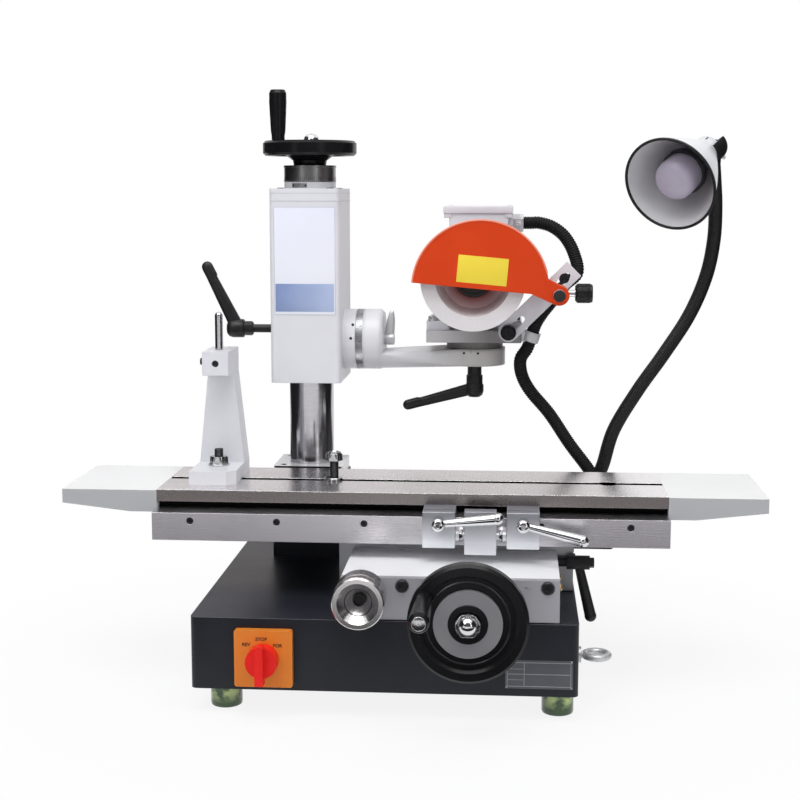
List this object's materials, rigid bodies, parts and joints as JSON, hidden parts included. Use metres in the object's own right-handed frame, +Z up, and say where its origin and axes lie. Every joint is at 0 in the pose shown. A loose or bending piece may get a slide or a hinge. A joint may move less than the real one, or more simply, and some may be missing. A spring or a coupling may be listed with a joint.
{
  "type": "tool and cutter grinder",
  "caption": "Bench tool and cutter grinder: long T-slot table on a cross slide, column head with a tilting arm, swivelling motor with guarded cup wheel, and a gooseneck lamp",
  "frame": {"origin": "bottom centre of the bounding box, on the floor plane", "axes": "+X along the table to the operator's right, +Y away from the operator, +Z up"},
  "size_m": [0.8, 0.5708, 0.6836],
  "materials": {
    "base_paint": "gloss",
    "white_paint": "satin",
    "ground_iron": "ground",
    "turned_steel": "turned",
    "dark_steel": "blackened",
    "bright_chrome": "polished",
    "turned_aluminium": "turned",
    "black_gloss": "gloss",
    "black_matte": "matte",
    "green_rubber": "smooth",
    "switch_orange": "gloss",
    "switch_red": "gloss",
    "guard_orange": "gloss",
    "abrasive": "grainy",
    "opal_glass": "opal",
    "bronze": "machined"
  },
  "bodies": {
    "stand": {"base_casing": "base_paint", "base_bottom_plate": "base_paint", "levelling_feet": "green_rubber", "column_pedestal": "base_paint", "column_plate": "white_paint", "column": "turned_steel", "feed_nuts": "bronze", "switch_plate": "switch_orange", "eye_bolt": "turned_steel", "junction_box": "black_matte", "conduit_lower": "black_matte"},
    "saddle": {"saddle": "ground_iron", "saddle_apron": "white_paint", "screw_plate": "ground_iron", "stop_post": "ground_iron"},
    "table": {"table_top": "ground_iron", "table_beam": "ground_iron", "table_wings": "white_paint", "table_rack": "turned_steel"},
    "left_dog": {"left_dog": "ground_iron"},
    "right_dog": {"right_dog": "ground_iron"},
    "left_dog_lever": {"left_dog_lever": "bright_chrome"},
    "right_dog_lever": {"right_dog_lever": "bright_chrome"},
    "cross_wheel": {"cross_handwheel": "black_gloss", "cross_dial": "turned_steel", "cross_screw": "bright_chrome"},
    "cross_grip": {"cross_grip": "black_gloss"},
    "table_knob": {"table_knob": "turned_aluminium", "pinion_shaft": "turned_steel"},
    "saddle_lock": {"saddle_lock_lever": "black_gloss"},
    "tool_post": {"tool_post": "white_paint", "post_t_bolt": "dark_steel"},
    "rest_rod": {"rest_rod": "turned_steel"},
    "spare_t_bolt": {"spare_t_bolt": "dark_steel"},
    "head": {"head_housing": "white_paint", "head_cap": "white_paint"},
    "elevating_wheel": {"elevating_handwheel": "black_gloss", "elevating_dial": "turned_steel", "elevating_screw": "turned_steel"},
    "elevating_grip": {"elevating_grip": "black_gloss"},
    "column_clamp": {"column_clamp_lever": "black_gloss"},
    "arm": {"arm": "white_paint", "tilt_dial": "turned_steel"},
    "arm_clamp": {"arm_clamp_lever": "bright_chrome"},
    "wheel_head": {"swivel_base": "ground_iron", "motor": "white_paint", "terminal_box": "white_paint", "guard_bracket": "white_paint", "conduit_fittings": "bright_chrome", "conduit_upper": "black_matte"},
    "swivel_clamp": {"swivel_clamp_lever": "black_gloss"},
    "wheel": {"spindle": "turned_steel", "grinding_wheel": "abrasive"},
    "wheel_guard": {"wheel_guard": "guard_orange"},
    "guard_screw": {"guard_thumb_screw": "black_gloss"},
    "bracket_knob": {"bracket_knob": "black_gloss"},
    "lamp": {"gooseneck": "black_matte", "lamp_shade": "white_paint", "lamp_bulb": "opal_glass"},
    "switch": {"switch_knob": "switch_red"}
  },
  "joints": [
    {"name": "cross_slide", "type": "slide", "parent": "stand", "child": "saddle", "axis": [0, 1, 0], "range_m": [-0.1, 0.015]},
    {"name": "cross_feed", "type": "hinge", "parent": "saddle", "child": "cross_wheel", "pos_m": [0.072, -0.15, 0.125], "axis": [0, 1, 0], "continuous": true},
    {"name": "cross_grip_spin", "type": "hinge", "parent": "cross_wheel", "child": "cross_grip", "pos_m": [0.02753, -0.24, 0.15172], "axis": [0, 1, 0], "continuous": true},
    {"name": "table_slide", "type": "slide", "parent": "saddle", "child": "table", "axis": [-1, 0, 0], "range_m": [-0.15, 0.15]},
    {"name": "table_knob_turn", "type": "hinge", "parent": "saddle", "child": "table_knob", "pos_m": [-0.043, -0.15, 0.138], "axis": [0, 1, 0], "continuous": true},
    {"name": "left_dog_slide", "type": "slide", "parent": "table", "child": "left_dog", "axis": [-1, 0, 0], "range_m": [-0.15, 0.15]},
    {"name": "right_dog_slide", "type": "slide", "parent": "table", "child": "right_dog", "axis": [-1, 0, 0], "range_m": [-0.15, 0.15]},
    {"name": "left_dog_turn", "type": "hinge", "parent": "left_dog", "child": "left_dog_lever", "pos_m": [0.035, -0.0583, 0.1995], "axis": [0, 1, 0], "range_deg": [-30, 30]},
    {"name": "right_dog_turn", "type": "hinge", "parent": "right_dog", "child": "right_dog_lever", "pos_m": [0.128, -0.0583, 0.1995], "axis": [0, 1, 0], "range_deg": [-40, 12]},
    {"name": "saddle_lock_turn", "type": "hinge", "parent": "saddle", "child": "saddle_lock", "pos_m": [0.178, -0.003, 0.144], "axis": [1, 0, 0], "range_deg": [-60, 30]},
    {"name": "tool_post_slide", "type": "slide", "parent": "table", "child": "tool_post", "axis": [1, 0, 0], "range_m": [-0.015, 0.06]},
    {"name": "rest_rod_slide", "type": "slide", "parent": "tool_post", "child": "rest_rod", "axis": [0, 0, 1], "range_m": [-0.04, 0.012]},
    {"name": "spare_t_bolt_slide", "type": "slide", "parent": "table", "child": "spare_t_bolt", "axis": [1, 0, 0], "range_m": [-0.02, 0.15]},
    {"name": "head_slide", "type": "slide", "parent": "stand", "child": "head", "axis": [0, 0, 1], "range_m": [-0.05, 0.09], "deforming": ["conduit_lower"]},
    {"name": "elevating_feed", "type": "hinge", "parent": "head", "child": "elevating_wheel", "pos_m": [-0.139, 0.195, 0.584], "axis": [0, 0, 1], "continuous": true},
    {"name": "elevating_grip_spin", "type": "hinge", "parent": "elevating_wheel", "child": "elevating_grip", "pos_m": [-0.17304, 0.16096, 0.654], "axis": [0, 0, 1], "continuous": true},
    {"name": "column_clamp_turn", "type": "hinge", "parent": "head", "child": "column_clamp", "pos_m": [-0.2, 0.187, 0.391], "axis": [1, 0, 0], "range_deg": [-45, 45]},
    {"name": "arm_tilt", "type": "hinge", "parent": "head", "child": "arm", "pos_m": [-0.085, 0.195, 0.378], "axis": [1, 0, 0], "range_deg": [-30, 30], "deforming": ["conduit_lower"]},
    {"name": "arm_clamp_turn", "type": "hinge", "parent": "arm", "child": "arm_clamp", "pos_m": [-0.04, 0.195, 0.378], "axis": [1, 0, 0], "range_deg": [-60, 60]},
    {"name": "wheel_swivel", "type": "hinge", "parent": "arm", "child": "wheel_head", "pos_m": [0.067, 0.195, 0.372], "axis": [0, 0, 1], "range_deg": [-45, 90], "deforming": ["conduit_lower"]},
    {"name": "swivel_clamp_turn", "type": "hinge", "parent": "arm", "child": "swivel_clamp", "pos_m": [0.067, 0.195, 0.339], "axis": [0, 0, 1], "range_deg": [-45, 45]},
    {"name": "wheel_spin", "type": "hinge", "parent": "wheel_head", "child": "wheel", "pos_m": [0.067, 0.12, 0.45955], "axis": [0, 1, 0], "continuous": true},
    {"name": "guard_swing", "type": "hinge", "parent": "wheel_head", "child": "wheel_guard", "pos_m": [0.168, 0.1, 0.44105], "axis": [0, 1, 0], "range_deg": [0, 85]},
    {"name": "guard_screw_turn", "type": "hinge", "parent": "wheel_head", "child": "guard_screw", "pos_m": [0.185, 0.1235, 0.44105], "axis": [1, 0, 0], "range_deg": [-90, 90]},
    {"name": "bracket_knob_turn", "type": "hinge", "parent": "wheel_head", "child": "bracket_knob", "pos_m": [0.109, 0.13, 0.39305], "axis": [0, 1, 0], "range_deg": [-90, 90]},
    {"name": "switch_turn", "type": "hinge", "parent": "stand", "child": "switch", "pos_m": [-0.149, -0.145, 0.0645], "axis": [0, 1, 0], "range_deg": [-45, 45]},
    {"name": "lamp_swing", "type": "hinge", "parent": "stand", "child": "lamp", "pos_m": [0.216, 0.213, 0.164], "axis": [0, 0, 1], "range_deg": [-30, 30]}
  ],
  "couplings": [
    {"joint": "cross_feed", "follows": "cross_slide", "rad_per_m": 1256.6},
    {"joint": "table_knob_turn", "follows": "table_slide", "rad_per_m": -50},
    {"joint": "left_dog_slide", "follows": "table_slide", "ratio": -1},
    {"joint": "right_dog_slide", "follows": "table_slide", "ratio": -1},
    {"joint": "elevating_feed", "follows": "head_slide", "rad_per_m": 1256.6}
  ]
}
